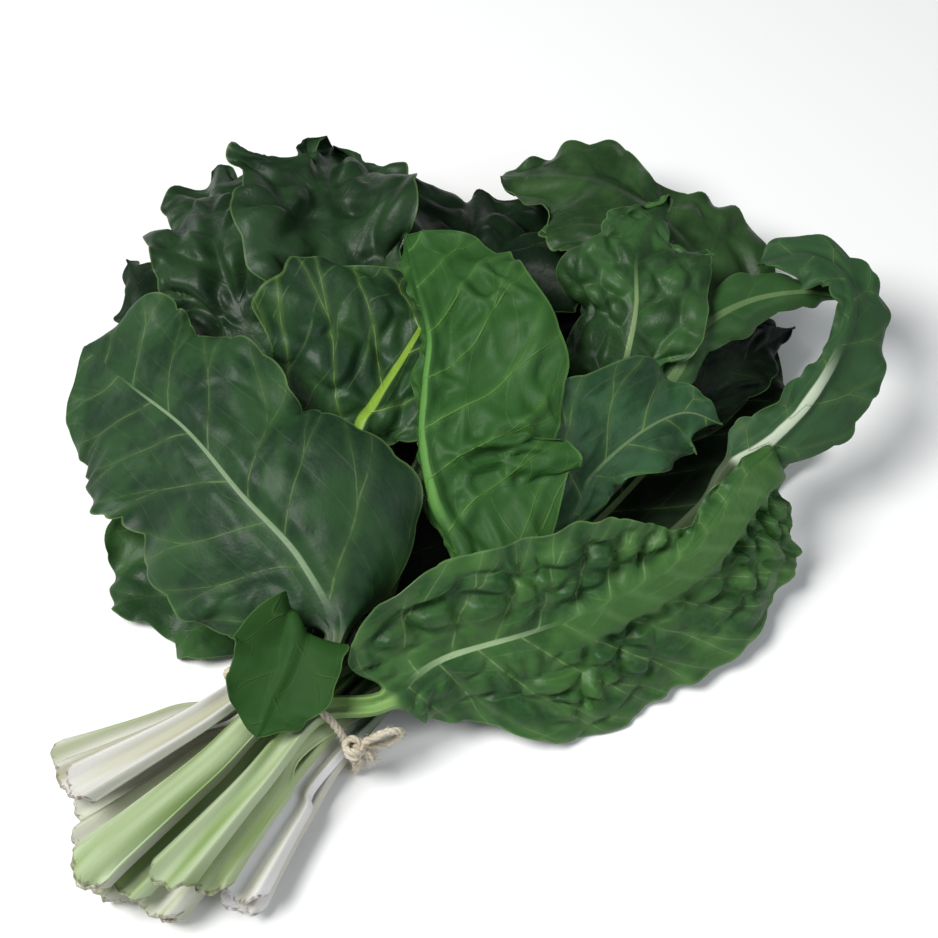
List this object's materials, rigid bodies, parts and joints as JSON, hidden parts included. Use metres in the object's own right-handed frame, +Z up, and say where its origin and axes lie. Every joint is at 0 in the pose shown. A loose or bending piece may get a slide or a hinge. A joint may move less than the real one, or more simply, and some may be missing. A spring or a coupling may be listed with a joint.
{
  "type": "chard bunch",
  "caption": "Bunch of green leaf chard lying on its side: pale grooved stalks cut at one end and tied with twine, dark crinkled leaves fanned out at the other.",
  "frame": {"origin": "on the surface the bunch lies on, under the middle of its bounding box", "axes": "+X from the cut stalk ends towards the leaf tips, +Y to the left seen along +X, +Z up"},
  "size_m": [0.4154, 0.3408, 0.0887],
  "materials": {
    "leaf": "satin, slightly waxy",
    "twine": "matt"
  },
  "bodies": {
    "root": {"leaf_under_right": "leaf", "leaf_under_middle": "leaf", "leaf_lobed_left": "leaf", "leaf_back_left": "leaf", "leaf_back_middle": "leaf", "leaf_back_folded": "leaf", "leaf_small_dark": "leaf", "leaf_crinkled_left": "leaf", "leaf_crinkled_right": "leaf", "leaf_narrow": "leaf", "leaf_small_crinkled": "leaf", "leaf_blue_green": "leaf", "leaf_ring": "leaf", "leaf_inner_left": "leaf", "leaf_centre": "leaf", "leaf_front_left": "leaf", "leaf_front_right": "leaf", "leaf_over_tie": "leaf", "tie_string": "twine"}
  },
  "joints": []
}
